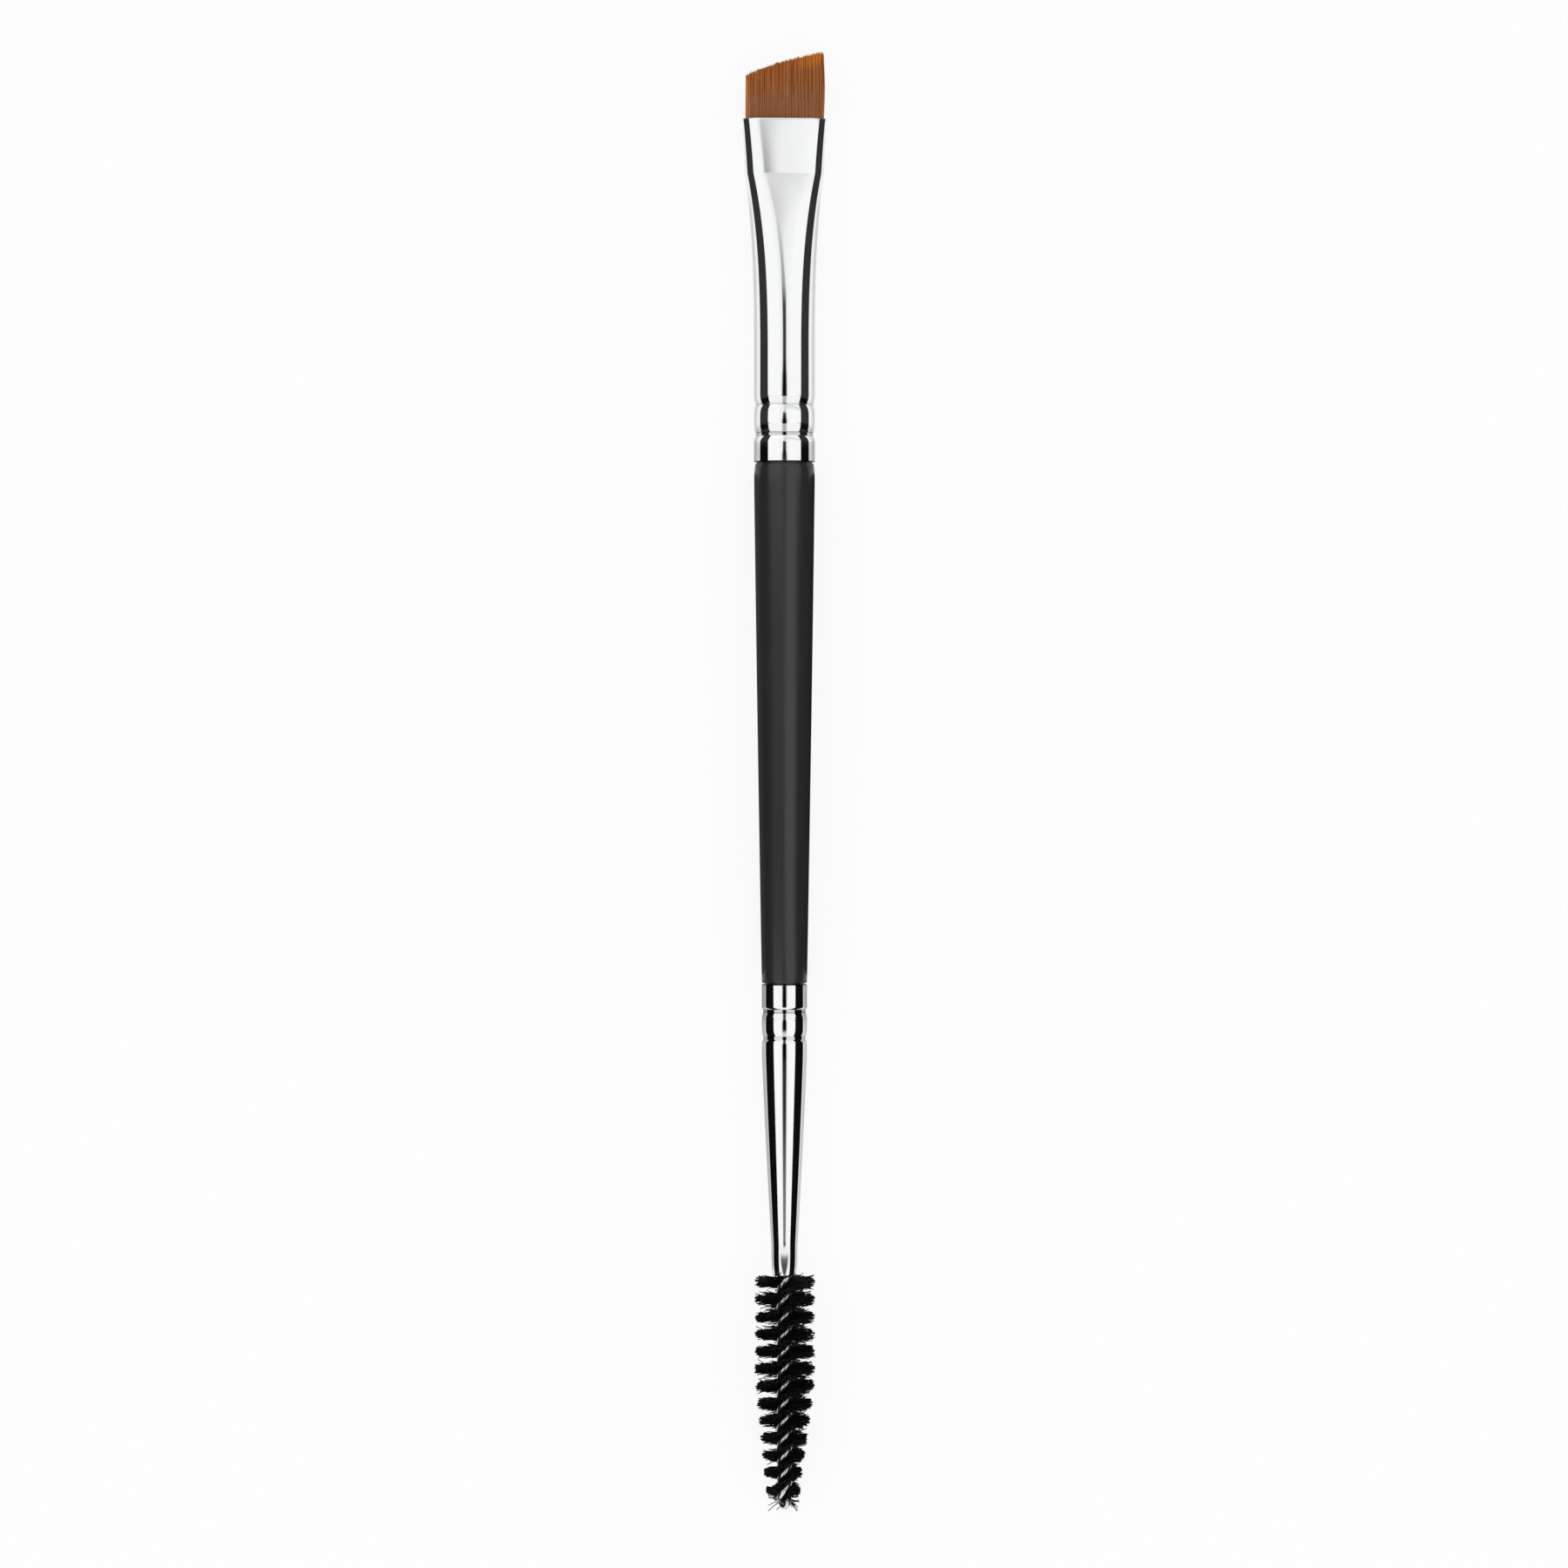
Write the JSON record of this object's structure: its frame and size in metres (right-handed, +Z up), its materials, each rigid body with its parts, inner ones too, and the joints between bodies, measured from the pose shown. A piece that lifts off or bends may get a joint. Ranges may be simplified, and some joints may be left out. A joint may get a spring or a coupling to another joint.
{
  "type": "eyebrow brush",
  "caption": "Two-ended eyebrow brush with an angled flat tuft in a pressed metal ferrule, a tapered lacquered handle and a twisted wire spoolie.",
  "frame": {"origin": "on the table that the brush lies on, under the middle of its length and width", "axes": "+Y along the brush towards the angled tuft, +X towards the long side of the tuft, +Z up, square to the flat of the ferrule mouth"},
  "size_m": [0.01, 0.1738, 0.0073],
  "materials": {
    "hair": "brown synthetic hair, golden at the tips",
    "ferrule_metal": "polished and plated",
    "lacquered_wood": "satin black lacquer",
    "bristle_nylon": "glossy black filament",
    "twisted_wire": "bright drawn wire",
    "glue": "amber resin"
  },
  "bodies": {
    "root": {"angled_tuft": "hair", "tuft_glue": "glue", "flat_ferrule": "ferrule_metal", "handle": "lacquered_wood", "taper_ferrule": "ferrule_metal", "wire_glue": "glue", "core_wire": "twisted_wire", "spoolie_bristles": "bristle_nylon"}
  },
  "joints": []
}
